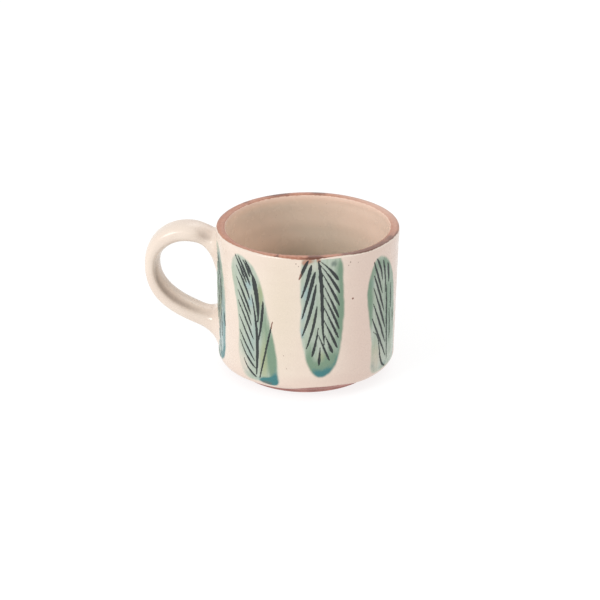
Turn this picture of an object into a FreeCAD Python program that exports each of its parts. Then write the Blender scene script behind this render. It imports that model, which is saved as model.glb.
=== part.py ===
import FreeCAD, Part
import math
import os

# Hand-thrown stoneware mug: iron-brown clay, cream slip under a clear glaze, and tall
# feather leaves cut through the slip.  +Z up, z = 0 on the table, handle towards -X.

# ---- overall sizes, mm ----
height = 70.5               # table to the top of the lip
rim_radius = 42.5           # outside, just under the lip
wall_flare = 0.6            # the wall opens this much from bottom to lip
corner_top_radius = rim_radius - wall_flare
corner_top_z = 7.7          # where the wall meets the rounded bottom corner
corner_run = 8.7            # how far the corner turns inwards
foot_height = 2.8
corner_rise = corner_top_z - foot_height
foot_inset = 8.1            # the foot stands in from the wall
foot_radius = corner_top_radius - foot_inset
foot_ring_width = 5.5
foot_edge = 0.8             # rounding of the foot's lower edges
foot_recess = 1.8           # hollow turned under the foot

# ---- clay and coats ----
coat = 0.6                  # cream slip and glaze together, outside
liner = 0.5                 # glaze inside the cup
band_coat = 0.5             # thin clear glaze over the lip
wall_at_lip = 4.2           # glazed thickness at the lip
wall_at_floor = 4.6
lip_rise = 0.9              # the lip is nearly flat, its edges just eased
lip_z = height - lip_rise
floor_z = 7.6               # glazed floor inside
floor_corner = 8.0          # rounding between floor and wall inside
glaze_line_z = 6.6          # the coats stop here, above the bare foot

# ---- pulled handle: centre line (reach beyond the rim radius, share of the height) ----
handle_path = [(-4.0, 0.730), (4.5, 0.878), (20.0, 0.903), (29.1, 0.800),
               (30.7, 0.622), (28.3, 0.528), (14.0, 0.359), (-4.0, 0.272)]
strap_width = 15.4
strap_thickness = 8.3
strap_thinning = 1.7        # thinner where the strap hangs upright
thinning_falloff = 6        # high power: only the upright stretch is thinned
upper_flare = 0.25          # extra thickness at the upper root, as a share
lower_flare = 1.15          # extra thickness at the lower root, as a share
flare_length = 6.5
strap_squareness = 2.6      # 2 would be an ellipse
thumb_groove = 0.9          # depth of the hollow drawn along the inside of the strap
groove_half_width = 2.6
groove_middle = 0.58        # place of the groove along the strap, as a share
groove_spread = 0.26
handle_coat = 0.5
handle_stations = 26
ring_points = 24

# ---- leaves ----
sketch_height = 70.5        # the leaf drawings below are laid out for this height
sketch_radius = 42.3        # ... and round this radius
board_gap = 1.0             # the flat drawing board stands this far off the rim
carve_reach = 6.0           # how far in a drawing is carried, well past the coat
line_end = 0.35             # width left at the two ends of a cut line
line_swell = 0.7            # how soon a cut line swells to its full width
line_steps = 6
smallest_lump = 0.4         # crumbs below this volume, mm3, are dropped
same_size = 1e-6            # sizes closer than this are equal


# ------------------------------------------------------------------ profiles
def outline_wire(edges):
    return Part.Wire(Part.__sortEdges__(edges))


def line(a, b):
    return Part.LineSegment(FreeCAD.Vector(a[0], a[1], 0), FreeCAD.Vector(b[0], b[1], 0)).toShape()


def step(a, b):
    """A short ledge where two coats of different thickness meet; none where they are equal."""
    return line(a, b) if abs(a[0] - b[0]) > same_size else None


def oval_arc(centre, run, rise, start, end):
    """Quarter or half oval in the (radius, height) plane, angles in degrees."""
    wide = run >= rise
    ring = Part.Ellipse(FreeCAD.Vector(centre[0], centre[1], 0), max(run, rise), min(run, rise))
    a, b = math.radians(start), math.radians(end)
    if not wide:
        ring.rotate(FreeCAD.Placement(FreeCAD.Vector(centre[0], centre[1], 0),
                                      FreeCAD.Rotation(FreeCAD.Vector(0, 0, 1), 90)))
        a, b = a - math.pi / 2, b - math.pi / 2
    return Part.ArcOfEllipse(ring, a, b).toShape()


def turn(edges):
    """Spin a closed (radius, height) outline about the mug's axis."""
    face = Part.Face(outline_wire(edges))
    face.rotate(FreeCAD.Vector(0, 0, 0), FreeCAD.Vector(1, 0, 0), 90)
    return face.revolve(FreeCAD.Vector(0, 0, 0), FreeCAD.Vector(0, 0, 1), 360)


corner_centre = (corner_top_radius - corner_run, corner_top_z)
lip_centre = (rim_radius - wall_at_lip / 2, lip_z)
inner_lip_radius = rim_radius - wall_at_lip
inner_floor_radius = corner_top_radius - wall_at_floor
floor_arc_centre = (inner_floor_radius - floor_corner, floor_z + floor_corner)


def corner_angle(z):
    """Angle on the corner oval, in degrees, at height z."""
    return -math.degrees(math.asin((corner_top_z - z) / corner_rise))


def corner_radius(z, inset):
    return corner_centre[0] + (corner_run - inset) * math.cos(math.radians(corner_angle(z)))


def thrown_body():
    """The clay itself: foot, floor and wall thrown and turned in one piece."""
    foot_in = foot_radius - foot_ring_width
    half_lip = wall_at_lip / 2 - band_coat
    clay_floor = floor_z - liner
    run = corner_run - coat
    neck = foot_radius - foot_edge
    meet = -math.degrees(math.acos((neck - corner_centre[0]) / run))
    meet_z = corner_top_z + corner_rise * math.sin(math.radians(meet))
    edges = [
        line((0, foot_recess), (foot_in - foot_edge, foot_recess)),
        line((foot_in - foot_edge, foot_recess), (foot_in, foot_edge)),
        line((foot_in, foot_edge), (foot_in + foot_edge, 0)),
        line((foot_in + foot_edge, 0), (neck, 0)),
        oval_arc((neck, foot_edge), foot_edge, foot_edge, -90, 0),
        line((foot_radius, foot_edge), (foot_radius, foot_height - foot_edge)),
        line((foot_radius, foot_height - foot_edge), (neck, meet_z)),
        oval_arc(corner_centre, run, corner_rise, meet, 0),
        line((corner_top_radius - coat, corner_top_z), (rim_radius - coat, lip_z)),
        step((rim_radius - coat, lip_z), (lip_centre[0] + half_lip, lip_z)),
        oval_arc(lip_centre, half_lip, lip_rise - band_coat, 0, 180),
        step((lip_centre[0] - half_lip, lip_z), (inner_lip_radius + liner, lip_z)),
        line((inner_lip_radius + liner, lip_z), (inner_floor_radius + liner, floor_arc_centre[1])),
        oval_arc(floor_arc_centre, floor_corner + liner, floor_corner + liner, -90, 0),
        line((floor_arc_centre[0], clay_floor), (0, clay_floor)),
        line((0, clay_floor), (0, foot_recess)),
    ]
    return turn([e for e in edges if e])


def coat_shell():
    """The whole outside coat before the leaves are drawn and the handle is joined."""
    start = corner_angle(glaze_line_z)
    edges = [
        oval_arc(corner_centre, corner_run, corner_rise, start, 0),
        line((corner_top_radius, corner_top_z), (rim_radius, lip_z)),
        line((rim_radius, lip_z), (rim_radius - coat, lip_z)),
        line((rim_radius - coat, lip_z), (corner_top_radius - coat, corner_top_z)),
        oval_arc(corner_centre, corner_run - coat, corner_rise, start, 0),
        line((corner_radius(glaze_line_z, coat), glaze_line_z),
             (corner_radius(glaze_line_z, 0), glaze_line_z)),
    ]
    return turn(edges)


def liner_glaze():
    """Glaze lining the cup, wall and floor."""
    cx, cz = floor_arc_centre
    edges = [
        line((0, floor_z), (cx, floor_z)),
        oval_arc(floor_arc_centre, floor_corner, floor_corner, -90, 0),
        line((inner_floor_radius, cz), (inner_lip_radius, lip_z)),
        line((inner_lip_radius, lip_z), (inner_lip_radius + liner, lip_z)),
        line((inner_lip_radius + liner, lip_z), (inner_floor_radius + liner, cz)),
        oval_arc(floor_arc_centre, floor_corner + liner, floor_corner + liner, -90, 0),
        line((cx, floor_z - liner), (0, floor_z - liner)),
        line((0, floor_z - liner), (0, floor_z)),
    ]
    return turn(edges)


def rim_band():
    """Thin clear glaze on the lip, where the slip was wiped away and the clay shows."""
    half = wall_at_lip / 2
    edges = [
        oval_arc(lip_centre, half, lip_rise, 0, 180),
        line((lip_centre[0] - half, lip_z), (lip_centre[0] - half + band_coat, lip_z)),
        oval_arc(lip_centre, half - band_coat, lip_rise - band_coat, 0, 180),
        line((lip_centre[0] + half - band_coat, lip_z), (lip_centre[0] + half, lip_z)),
    ]
    return turn(edges)


# ------------------------------------------------------------------ handle
def strap(inset):
    """The pulled strap, its skin moved inwards by inset."""
    path = Part.BSplineCurve()
    path.interpolate([FreeCAD.Vector(-rim_radius - reach, 0, share * height)
                      for reach, share in handle_path])
    first, last = path.FirstParameter, path.LastParameter
    length = path.length(first, last)
    rings = []
    for i in range(handle_stations + 1):
        run = length * i / handle_stations
        t = path.parameterAtDistance(run, first)
        here = path.value(t)
        along = path.tangent(t)[0]
        out = FreeCAD.Vector(along.z, 0, -along.x)
        upright = abs(along.z) ** thinning_falloff
        grow = 1 + upper_flare * math.exp(-(run / flare_length) ** 2)
        grow += lower_flare * math.exp(-((length - run) / flare_length) ** 2)
        half_t = (strap_thickness - strap_thinning * upright) * grow / 2 - inset
        half_w = strap_width * math.sqrt(grow) / 2 - inset
        hollow = thumb_groove * math.exp(-((run / length - groove_middle) / groove_spread) ** 2)
        points = []
        for k in range(ring_points):
            a = 2 * math.pi * k / ring_points
            c, s = math.cos(a), math.sin(a)
            u = math.copysign(abs(c) ** (2 / strap_squareness), c)
            w = math.copysign(abs(s) ** (2 / strap_squareness), s)
            lift = u * half_t
            if u > 0:
                lift -= hollow * math.exp(-(w * half_w / groove_half_width) ** 2)
            points.append(here + out * lift + FreeCAD.Vector(0, w * half_w, 0))
        ring = Part.BSplineCurve()
        ring.interpolate(Points=points, PeriodicFlag=True)
        rings.append(Part.Wire([ring.toShape()]))
    return Part.makeLoft(rings, True, False)


# ------------------------------------------------------------------ leaf drawing
def on_board(s, z):
    """Sketch position (round the mug, up) on the flat board in front of the mug."""
    across = corner_top_radius * math.sin(s / sketch_radius)
    return FreeCAD.Vector(across, -(rim_radius + board_gap), z * height / sketch_height)


def carry_in(edges, centre_angle):
    """Carry a closed drawing from the board into the coat, then swing it to its place."""
    face = Part.Face(outline_wire(edges))
    solid = face.extrude(FreeCAD.Vector(0, carve_reach, 0))
    solid.rotate(FreeCAD.Vector(0, 0, 0), FreeCAD.Vector(0, 0, 1), centre_angle)
    return solid


def leaf_outline(points, centre_angle):
    curve = Part.BSplineCurve()
    curve.interpolate(Points=[on_board(s, z) for s, z in points], PeriodicFlag=True)
    return carry_in([curve.toShape()], centre_angle)


def cut_line(points, width, swell_at, centre_angle):
    """One stroke of the tool, pointed at both ends and widest at the share swell_at."""
    curve = Part.BSplineCurve()
    curve.interpolate([on_board(s, z) for s, z in points])
    power = math.log(0.5) / math.log(swell_at)
    left, right = [], []
    for i in range(line_steps + 1):
        f = i / line_steps
        t = curve.FirstParameter + f * (curve.LastParameter - curve.FirstParameter)
        here = curve.value(t)
        along = curve.tangent(t)[0]
        side = FreeCAD.Vector(-along.z, 0, along.x)
        swell = max(0.0, math.sin(math.pi * f ** power)) ** line_swell
        half = (line_end + (width - line_end) * swell) / 2
        left.append(here + side * half)
        right.append(here - side * half)
    a, b = Part.BSplineCurve(), Part.BSplineCurve()
    a.interpolate(left)
    b.interpolate(right)
    ends = [Part.LineSegment(left[0], right[0]).toShape(),
            Part.LineSegment(left[-1], right[-1]).toShape()]
    return carry_in([a.toShape(), b.toShape()] + ends, centre_angle)


# Leaf drawings, mm from the leaf's own middle line and mm up.  First the outline of the
# brushed wash, then each cut line: (width, share of its length where it is widest, path).

# Leaning leaf: top to the left, foot to the right.
leaning_wash = [(-10.5, 66.3), (-13, 61.5), (-12, 54), (-9.3, 43), (-8, 30), (-7.5, 14), (-4, 8.3),
                (5, 7.2), (13.5, 7.2), (14, 15), (11.5, 30), (8, 45), (4.5, 58), (-1, 65.3)]
leaning_lines = [
    (2.4, 0.28, [(0.5, 60), (2, 54.5), (3.1, 48.5), (3.6, 37)]),
    (1.5, 0.62, [(0, 50), (2.4, 37), (3.2, 24), (2.6, 10)]),
    (1.3, 0.35, [(6.3, 48), (5.8, 41), (3.6, 27)]),
    (0.9, 0.50, [(11.1, 39), (8, 25), (4.4, 9)]),
    (1.3, 0.60, [(-10.2, 67.3), (-6, 60.5), (-2.8, 54.8)]),
    (1.4, 0.55, [(-8, 67), (-4, 60.5), (-0.5, 54)]),
    (1.2, 0.60, [(-5, 65.8), (-2.5, 62), (-0.7, 58)]),
    (1.2, 0.50, [(-3.6, 66), (-1.2, 62.3), (0.8, 58.5)]),
    (1.2, 0.60, [(-9.6, 61.8), (-5, 55.5), (-0.8, 47)]),
    (1.3, 0.60, [(-9.5, 56.2), (-4.5, 48.5), (-0.3, 39.8)]),
    (1.1, 0.60, [(-8.8, 50.3), (-4, 43), (0, 34.2)]),
    (1.1, 0.60, [(-8.5, 45), (-3, 36), (1, 27.8)]),
    (1.0, 0.60, [(-7.8, 38), (-3, 29.7), (1.3, 21.8)]),
    (1.0, 0.60, [(-7.5, 30.5), (-3, 23.5), (1.7, 16.8)]),
    (1.2, 0.75, [(-7, 25.3), (-3, 18.5), (2.1, 13.2)]),
    (1.1, 0.70, [(-5, 17), (-1.5, 11.8), (2.8, 8.8)]),
]

# Upright leaf: its wash runs up to the lip and is drawn out to a tip below.
upright_wash = [(-8.6, 70.3), (-9.7, 60), (-9.3, 45), (-9.2, 33), (-7.6, 25), (-4.8, 16),
                (0, 11.7), (4.5, 13.8), (8.3, 21), (10, 33), (10.7, 46), (10, 61), (7.5, 70.3)]
upright_lines = [
    (1.6, 0.30, [(-1.9, 69.2), (-0.3, 59), (0.4, 45), (1.7, 28.3)]),
    (1.0, 0.50, [(-1.5, 61.8), (-0.5, 58), (0.3, 53)]),
    (1.6, 0.78, [(-1.2, 68.9), (3.5, 64.6), (7.8, 59)]),
    (1.4, 0.75, [(-1, 67), (4, 60.5), (8.5, 53)]),
    (1.3, 0.75, [(-0.3, 63.5), (4, 56), (8.5, 47)]),
    (1.2, 0.78, [(0.2, 58.5), (4.3, 50.2), (8.3, 41)]),
    (1.2, 0.75, [(0.5, 53.5), (4.3, 45.7), (8.5, 35.5)]),
    (1.2, 0.75, [(0.8, 48), (4.5, 39.6), (8.3, 31)]),
    (1.3, 0.75, [(1.3, 40.5), (4.6, 33.3), (7.8, 26)]),
    (1.5, 0.80, [(1.4, 34), (3.4, 29.3), (5.6, 23.7)]),
    (1.0, 0.70, [(-1.2, 33.4), (1.5, 26.5), (4.2, 20)]),
    (1.5, 0.35, [(-6.3, 69.2), (-8.2, 65), (-10.3, 60)]),
    (1.6, 0.25, [(-4.8, 67.2), (-6.6, 59.5), (-9.2, 51.5)]),
    (1.6, 0.22, [(-3.1, 64), (-5.8, 53), (-8.8, 41.5)]),
    (1.5, 0.40, [(-2.6, 58), (-4.9, 45.5), (-8.5, 33)]),
    (1.2, 0.40, [(-2, 47.8), (-3.6, 37.5), (-6.6, 26.5)]),
    (1.3, 0.75, [(-1.3, 37), (-2.4, 29.5), (-4, 22.4)]),
    (1.3, 0.70, [(-0.3, 27), (-0.5, 22.5), (-0.7, 18)]),
]

# Broad leaf, with long lines falling to the right.
falling_wash = [(-10.3, 64.3), (-13.3, 57.5), (-14.6, 51), (-13.8, 41), (-12, 31), (-10.6, 17),
                (-10, 7.8), (0, 7.0), (12, 8), (12.5, 19), (9.5, 40), (5, 55), (-1.5, 63), (-7, 65.6)]
falling_lines = [
    (1.2, 0.50, [(-11.2, 64), (-7.6, 55.5), (-4, 46.5)]),
    (1.2, 0.40, [(-9.2, 65), (-6.3, 60), (-4.3, 53)]),
    (1.2, 0.30, [(-4.3, 63), (-2.3, 55.5), (-1.3, 46)]),
    (1.8, 0.40, [(-0.3, 60.5), (1, 55.5), (1.5, 50)]),
    (1.3, 0.50, [(-10.6, 57.2), (-6, 46.5), (-2, 36.8)]),
    (1.4, 0.65, [(-10.8, 51.5), (-6, 40.5), (-0.3, 27.5)]),
    (1.3, 0.60, [(-10.5, 43.2), (-5, 31.2), (0.2, 20)]),
    (1.2, 0.50, [(-11, 36), (-4.5, 22.8), (1.2, 12.5)]),
    (1.2, 0.80, [(-10, 28.8), (-4.5, 17), (-1.5, 9.3), (1.2, 7.4)]),
    (1.3, 0.40, [(-0.5, 49.5), (0.6, 34), (2.7, 10)]),
    (0.9, 0.50, [(3.7, 49), (4.4, 43), (5, 36)]),
    (0.9, 0.50, [(3.2, 36), (4.4, 28), (4.7, 20)]),
    (0.9, 0.50, [(7.7, 34), (8.3, 31), (8.9, 27)]),
]

# Narrow leaf beside the handle; it carries the falling lines.
narrow_wash = [(-3, 65.5), (-8, 57), (-10, 42), (-9.5, 20), (-6, 8.5), (2, 7.2), (7, 10),
               (9.2, 20), (9.8, 36), (8.3, 50), (4, 62), (0, 66.3)]

# Every leaf: degrees round the mug (0 towards -Y, growing towards +X), wash, lines,
# 1 as drawn or -1 turned over, and how far its top sways in mm.
leaves = [
    (-69.7, narrow_wash, falling_lines, 1, 0.0),
    (-30.3, leaning_wash, leaning_lines, 1, 0.0),
    (15.1, upright_wash, upright_lines, 1, 0.0),
    (66.3, falling_wash, falling_lines, 1, 0.0),
    (111.0, upright_wash, upright_lines, -1, 1.2),
    (156.0, leaning_wash, leaning_lines, -1, -0.8),
    (201.0, falling_wash, falling_lines, -1, -0.6),
    (246.5, narrow_wash, leaning_lines, 1, 1.0),
]


def laid_out(points, flip, sway):
    """A drawing turned over or swayed, so that no two leaves are quite alike."""
    middle = sketch_height / 2
    return [(flip * s + sway * (z - middle) / middle, z) for s, z in points]


# ------------------------------------------------------------------ build
def solids_only(shape):
    """Keep the real lumps of a boolean result as one compound."""
    lumps = [s for s in shape.Solids if s.Volume > smallest_lump]
    return lumps[0] if len(lumps) == 1 else Part.makeCompound(lumps)


def save(name, shape):
    shape = solids_only(shape)
    shape.exportStep("parts/" + name + ".step")
    print(name, [round(s.Volume, 2) for s in shape.Solids][:20], shape.isValid())


os.makedirs("parts", exist_ok=True)

body = thrown_body()
save("thrown_body", body)
shell = coat_shell()
save("liner_glaze", liner_glaze())
save("rim_band", rim_band())

outer_strap = strap(0.0)
inner_strap = strap(handle_coat)
filled = turn([
    line((0, 0), (foot_radius, 0)),
    line((foot_radius, 0), (corner_radius(glaze_line_z, 0), glaze_line_z)),
    oval_arc(corner_centre, corner_run, corner_rise, corner_angle(glaze_line_z), 0),
    line((corner_top_radius, corner_top_z), (rim_radius, lip_z)),
    line((rim_radius, lip_z), (0, lip_z)),
    line((0, lip_z), (0, 0)),
])
clay_strap = inner_strap.cut(filled)
save("handle_strap", clay_strap)
save("handle_glaze", outer_strap.cut(filled).cut(inner_strap))

pads = sorted(shell.common(outer_strap).Solids, key=lambda pad: pad.CenterOfMass.z)
save("lower_slip_joint", pads[0])
save("upper_slip_joint", pads[-1])

cream = shell.cut(outer_strap)
for number, (angle, wash_points, line_list, flip, sway) in enumerate(leaves, start=1):
    tools = [cut_line(laid_out(points, flip, sway), width, swell_at, angle)
             for width, swell_at, points in line_list]
    strokes = tools[0].fuse(tools[1:])
    wash_tool = leaf_outline(laid_out(wash_points, flip, sway), angle)
    lines = cream.common(strokes)
    wash = cream.common(wash_tool).cut(strokes)
    cream = cream.cut(strokes).cut(wash_tool)
    save("leaf_lines_%d" % number, lines)
    save("leaf_wash_%d" % number, wash)
save("outer_glaze", cream)
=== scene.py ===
import math

import bmesh
import bpy
import numpy as np
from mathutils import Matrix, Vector
from mathutils.bvhtree import BVHTree


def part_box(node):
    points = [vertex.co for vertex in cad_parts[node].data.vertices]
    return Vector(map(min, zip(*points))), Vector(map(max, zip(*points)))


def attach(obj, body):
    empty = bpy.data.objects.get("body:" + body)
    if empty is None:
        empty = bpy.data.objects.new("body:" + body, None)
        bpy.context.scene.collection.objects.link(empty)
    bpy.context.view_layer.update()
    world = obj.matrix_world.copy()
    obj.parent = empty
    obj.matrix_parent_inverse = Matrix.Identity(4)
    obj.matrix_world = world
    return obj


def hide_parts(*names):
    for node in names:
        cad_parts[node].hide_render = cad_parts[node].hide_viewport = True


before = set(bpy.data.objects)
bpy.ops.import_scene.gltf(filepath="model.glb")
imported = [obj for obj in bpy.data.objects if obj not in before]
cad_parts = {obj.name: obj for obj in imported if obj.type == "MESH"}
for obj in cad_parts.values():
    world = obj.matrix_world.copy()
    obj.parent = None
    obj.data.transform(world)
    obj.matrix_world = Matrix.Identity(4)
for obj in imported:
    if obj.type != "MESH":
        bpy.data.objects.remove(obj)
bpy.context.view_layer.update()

MM = 0.001
TINY = 1e-7                 # metres; points closer than this are one

# ------------------------------------------------------------------ sizes, from the frame
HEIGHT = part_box("rim_band")[1].z
LIP_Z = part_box("outer_glaze")[1].z
RIM_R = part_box("rim_band")[1].y
GLAZE_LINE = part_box("outer_glaze")[0].z
CORNER_Z = 7.7 * MM         # the wall meets the rounded bottom corner
CORNER_R = RIM_R - 0.6 * MM
CORNER_RUN = 8.7 * MM
CORNER_RISE = 4.9 * MM
FOOT_R = CORNER_R - 8.1 * MM
COAT = 0.6 * MM             # cream slip and glaze, outside
LINER = 0.5 * MM            # glaze inside the cup
LIP_WIDTH = 4.2 * MM
LIP_RISE = HEIGHT - LIP_Z
FLOOR_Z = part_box("liner_glaze")[0].z + LINER
FLOOR_CORNER = 8.0 * MM
INNER_FLOOR_R = CORNER_R - 4.6 * MM
INNER_LIP_R = RIM_R - LIP_WIDTH
LIP_MIDDLE = RIM_R - LIP_WIDTH / 2

# The mug was thrown by hand: it leans a little and its lip is not quite round.
LEAN = 0.0119               # sideways shift for each unit of height
LEAN_TOWARDS = math.radians(6.3)
OUT_OF_ROUND = 0.0016       # share of the radius, at the lip
LIP_WAVE = 0.2              # mm
LIP_LIFTS = [(10, 24, 1.15), (200, 45, 0.35)]    # degrees round the mug, reach in degrees, mm


# ------------------------------------------------------------------ small tools
def smooth(low, high, x):
    t = np.clip((np.asarray(x, float) - low) / (high - low), 0, 1)
    return t * t * (3 - 2 * t)


def bell(x, middle, width):
    return np.exp(-0.5 * ((x - middle) / width) ** 2)


def apart(angle, degrees):
    """Degrees round the mug from a given place, -180 to 180; angles are in radians."""
    return (np.degrees(angle) - degrees + 180) % 360 - 180


def waves(angle, z, seed, count=5, lowest=2):
    """A smooth closed ripple round the mug, about -1 to 1, the same every run."""
    rng = np.random.default_rng(seed)
    total = 0
    for i in range(count):
        turns = lowest + i
        phase, rise = rng.uniform(0, 2 * math.pi), rng.uniform(-90, 90)
        total = total + np.sin(turns * angle + phase + rise * z) / math.sqrt(turns)
    return total / math.sqrt(count)


def outer_radius(z):
    z = np.asarray(z, float)
    wall = CORNER_R + (RIM_R - CORNER_R) * (z - CORNER_Z) / (LIP_Z - CORNER_Z)
    drop = np.clip((CORNER_Z - z) / CORNER_RISE, 0, 1)
    corner = CORNER_R - CORNER_RUN + CORNER_RUN * np.sqrt(1 - drop ** 2)
    return np.where(z >= CORNER_Z, wall, corner)


def arc(centre, run, rise, start, end, steps):
    """Points on an oval in the (radius, height) plane, angles in degrees."""
    turn = np.radians(np.linspace(start, end, steps + 1))
    return [(centre[0] + run * math.cos(a), centre[1] + rise * math.sin(a)) for a in turn]


def run_of(a, b, steps):
    return [(a[0] + (b[0] - a[0]) * i / steps, a[1] + (b[1] - a[1]) * i / steps)
            for i in range(steps + 1)]


def joined(*runs):
    """One list of points from several runs, without the doubles where they meet."""
    points = []
    for run in runs:
        for p in run:
            if not points or math.dist(p, points[-1]) > TINY:
                points.append(p)
    return points


def turned(name, profile, steps):
    """Spin a closed (radius, height) outline about the mug's axis.  Keeps each point's row number."""
    bm = bmesh.new()
    row = bm.verts.layers.int.new("row")
    verts = []
    for i, (r, z) in enumerate(profile):
        v = bm.verts.new((r, 0, z))
        v[row] = i
        verts.append(v)
    off_axis = [(a, b) for a, b in zip(verts, verts[1:] + verts[:1]) if max(a.co.x, b.co.x) > TINY]
    edges = [bm.edges.new(pair) for pair in off_axis]
    bmesh.ops.spin(bm, geom=verts + edges, cent=(0, 0, 0), axis=(0, 0, 1), dvec=(0, 0, 0),
                   angle=2 * math.pi, steps=steps, use_merge=True, use_duplicate=False)
    bmesh.ops.remove_doubles(bm, verts=bm.verts, dist=TINY)
    bmesh.ops.recalc_face_normals(bm, faces=bm.faces)
    return piece(name, bm)


def piece(name, bm):
    mesh = bpy.data.meshes.new(name)
    for f in bm.faces:
        f.smooth = True
    bm.to_mesh(mesh)
    bm.free()
    made = bpy.data.objects.new(name, mesh)
    bpy.context.scene.collection.objects.link(made)
    return made


def points_of(obj):
    co = np.zeros(len(obj.data.vertices) * 3)
    obj.data.vertices.foreach_get("co", co)
    return co.reshape(-1, 3)


def move_points(obj, co):
    obj.data.vertices.foreach_set("co", np.ascontiguousarray(co, dtype=np.float32).ravel())
    obj.data.update()


def give(obj, name, values):
    field = obj.data.attributes.new(name, "FLOAT", "POINT")
    field.data.foreach_set("value", np.ascontiguousarray(values, dtype=np.float32))


def rows_of(obj):
    rows = np.zeros(len(obj.data.vertices), np.int32)
    obj.data.attributes["row"].data.foreach_get("value", rows)
    return rows


def sharpen(obj, degrees):
    """Crisp shading only where two faces meet at a steep angle."""
    obj.data.set_sharp_from_angle(angle=math.radians(degrees))


def hand_thrown(co):
    """The same small unevenness for every piece, so that they still fit one another."""
    angle = np.arctan2(co[:, 1], co[:, 0])
    rise = co[:, 2] / HEIGHT
    grow = 1 + OUT_OF_ROUND * rise * waves(angle, 0, 11, 3, 2)
    out = co.copy()
    out[:, :2] *= grow[:, None]
    front = np.arctan2(co[:, 0], -co[:, 1])
    lift = LIP_WAVE * waves(angle, 0, 12, 3, 1)
    for place, reach, higher in LIP_LIFTS:
        lift = lift + higher * bell(apart(front, place), 0, reach)
    out[:, 2] += lift * MM * smooth(0.6, 1, rise)
    out[:, 0] += LEAN * co[:, 2] * math.cos(LEAN_TOWARDS)
    out[:, 1] += LEAN * co[:, 2] * math.sin(LEAN_TOWARDS)
    return out


# ------------------------------------------------------------------ the clay body
def clay_body():
    """Foot, floor and wall of bare clay; only the foot and corner show."""
    edge = 0.8 * MM
    foot_in = FOOT_R - 5.5 * MM
    recess = 1.8 * MM
    inner_round = 1.2 * MM      # from the hollow under the foot to the foot's inner side
    inner_edge = 0.6 * MM
    foot_side = 1.7 * MM
    neck_z = 2.85 * MM
    top = LIP_Z - 0.3 * MM      # hidden under the lip
    low_run = CORNER_RUN - COAT
    corner = (CORNER_R - CORNER_RUN, CORNER_Z)
    neck = FOOT_R - 0.5 * MM
    meet = -math.degrees(math.acos((neck - corner[0]) / low_run))
    profile = joined(
        run_of((0, recess), (foot_in - inner_round, recess), 24),
        arc((foot_in - inner_round, recess - inner_round), inner_round, inner_round, 90, 0, 6),
        arc((foot_in + inner_edge, inner_edge), inner_edge, inner_edge, 180, 270, 5),
        run_of((foot_in + inner_edge, 0), (FOOT_R - edge, 0), 4),
        arc((FOOT_R - edge, edge), edge, edge, -90, 0, 6),
        run_of((FOOT_R, edge), (FOOT_R, foot_side), 3),
        run_of((FOOT_R, foot_side), (neck, neck_z), 5),
        arc(corner, low_run, CORNER_RISE, meet, 0, 26),
        run_of((CORNER_R - COAT, CORNER_Z), (RIM_R - COAT, top), 8),
        run_of((RIM_R - COAT, top), (INNER_LIP_R + LINER, top), 3),
        run_of((INNER_LIP_R + LINER, top), (INNER_FLOOR_R + LINER, FLOOR_Z + FLOOR_CORNER), 8),
        arc((INNER_FLOOR_R - FLOOR_CORNER, FLOOR_Z + FLOOR_CORNER), FLOOR_CORNER + LINER,
            FLOOR_CORNER + LINER, 0, -90, 10),
        run_of((INNER_FLOOR_R - FLOOR_CORNER, FLOOR_Z - LINER), (0, FLOOR_Z - LINER), 4),
    )
    body = turned("clay_body", profile, 240)
    co = points_of(body)
    angle = np.arctan2(co[:, 1], co[:, 0])
    low = 1 - smooth(7 * MM, 12 * MM, co[:, 2])
    resting = smooth(0.0, 1.5 * MM, co[:, 2])
    far = np.hypot(co[:, 0], co[:, 1])
    tool_marks = np.sin(co[:, 2] / (0.42 * MM) + 1.2 * waves(angle, 0, 21, 3, 1))
    shift = (0.05 * tool_marks + 0.09 * waves(angle, co[:, 2], 22, 6, 3)) * MM * low * resting
    co[:, :2] *= (1 + shift / np.maximum(far, MM))[:, None]
    move_points(body, hand_thrown(co))
    sharpen(body, 50)
    return body


# ------------------------------------------------------------------ the drawn coat
COLUMNS = 588
CORNER_STEPS = 10
WALL_STEPS = 138
GRID_STEP = 0.45            # mm from one column or row to the next
LOWEST = 4.2 * MM
FITTED = 4.5 * MM           # the lowest stretch of rows slides to meet the coat's uneven edge
FAR_OFF = 3.0               # mm; no cut line is looked for beyond this

# Relief of the coat, mm
LINE_DEPTH = 0.20
BURR = 0.05
EDGE_BEAD = 0.16
EDGE_TAPER = 0.55
LIP_SHOULDER = 0.16

# Where the cream slip laps over the lip's outer side: (degrees, reach in degrees, mm)
LIP_LAPS = [(-36, 17, 1.25), (27, 8, 0.95), (-75, 14, 0.5), (62, 14, 0.6)]


def lap(angle):
    """How far, in mm, the cream laps over the lip."""
    return sum(over * bell(apart(angle, place), 0, reach) for place, reach, over in LIP_LAPS)


def glaze_edge(angle):
    """Height where the coat stops: high at the front, elsewhere it ran down under the corner."""
    at = apart(angle, 0)
    high = smooth(-14, 12, at) * (1 - smooth(24, 48, at))
    low = GLAZE_LINE + (-1.9 + 0.3 * waves(angle, 0, 31, 6, 3) - 0.6 * smooth(30, 50, abs(at))) * MM
    top = GLAZE_LINE + (-0.15 + 0.10 * waves(angle, 0, 32, 8, 9)) * MM
    return low * (1 - high) + top * high


def tree_of(names):
    """One search tree over the solids of several nodes."""
    verts, faces = [], []
    for name in names:
        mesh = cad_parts[name].data
        start = len(verts)
        verts += [v.co.copy() for v in mesh.vertices]
        faces += [[start + i for i in p.vertices] for p in mesh.polygons]
    return BVHTree.FromPolygons(verts, faces)


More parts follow.
